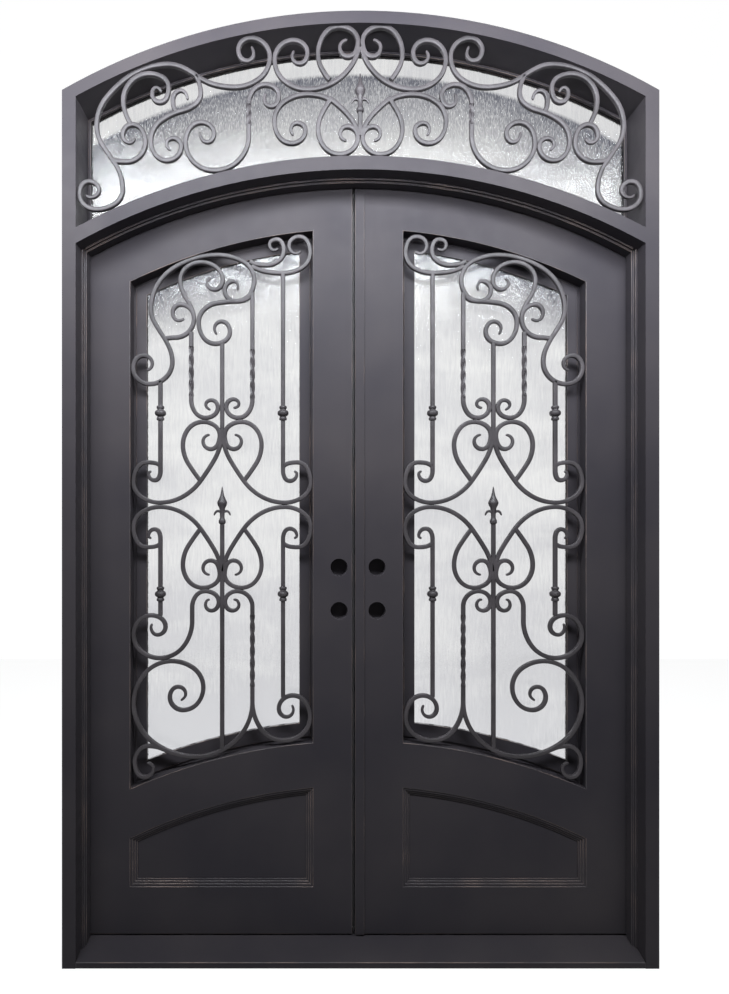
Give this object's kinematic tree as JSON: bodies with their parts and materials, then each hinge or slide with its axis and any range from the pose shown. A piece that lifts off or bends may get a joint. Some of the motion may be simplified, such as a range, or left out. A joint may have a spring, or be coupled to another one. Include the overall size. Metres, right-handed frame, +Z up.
{
  "type": "double-leaf wrought iron front door",
  "caption": "Arched iron entry door: frame, arched transom light, inward-swinging glazed leaves with scroll grilles, kick panels and lock bores.",
  "frame": {"origin": "on the floor, under the middle of the threshold, half way through the frame's depth", "axes": "+X to the right seen from outside, +Y into the house, +Z up; the outside faces -Y"},
  "size_m": [1.83, 0.178, 2.9348],
  "materials": {
    "painted_steel": "satin dark bronze paint with rubbed edges",
    "forged_iron": "satin dark bronze paint over forged bar",
    "hinge_steel": "satin dark bronze paint",
    "rain_glass": "rain-textured clear glass",
    "seal_rubber": "matt black seal"
  },
  "bodies": {
    "frame": {"head_arch": "painted_steel", "head_stop": "painted_steel", "left_frame_hinges": "hinge_steel", "left_jamb": "painted_steel", "left_jamb_stop": "painted_steel", "right_frame_hinges": "hinge_steel", "right_jamb": "painted_steel", "right_jamb_stop": "painted_steel", "threshold": "painted_steel", "transom_bar": "painted_steel", "transom_beads": "painted_steel", "transom_glass": "rain_glass", "transom_scrolls": "forged_iron", "transom_spear": "forged_iron", "transom_twists": "forged_iron"},
    "left_leaf": {"left_bars": "forged_iron", "left_bottom_rail": "painted_steel", "left_collars": "forged_iron", "left_glass": "rain_glass", "left_hinge_stile": "painted_steel", "left_kick_moulding": "painted_steel", "left_kick_panel": "painted_steel", "left_leaf_hinges": "hinge_steel", "left_lock_stile": "painted_steel", "left_meeting_seal": "seal_rubber", "left_middle_rail": "painted_steel", "left_sash": "painted_steel", "left_scrolls": "forged_iron", "left_spear": "forged_iron", "left_top_rail": "painted_steel", "left_twists": "forged_iron"},
    "right_leaf": {"astragal": "painted_steel", "right_bars": "forged_iron", "right_bottom_rail": "painted_steel", "right_collars": "forged_iron", "right_glass": "rain_glass", "right_hinge_stile": "painted_steel", "right_kick_moulding": "painted_steel", "right_kick_panel": "painted_steel", "right_leaf_hinges": "hinge_steel", "right_lock_stile": "painted_steel", "right_meeting_seal": "seal_rubber", "right_middle_rail": "painted_steel", "right_sash": "painted_steel", "right_scrolls": "forged_iron", "right_spear": "forged_iron", "right_top_rail": "painted_steel", "right_twists": "forged_iron"}
  },
  "joints": [
    {"name": "left_leaf_swing", "type": "hinge", "parent": "frame", "child": "left_leaf", "pos_m": [-0.87, 0.09, 0], "axis": [0, 0, 1], "range_deg": [0, 105]},
    {"name": "right_leaf_swing", "type": "hinge", "parent": "frame", "child": "right_leaf", "pos_m": [0.87, 0.09, 0], "axis": [0, 0, -1], "range_deg": [0, 105]}
  ]
}
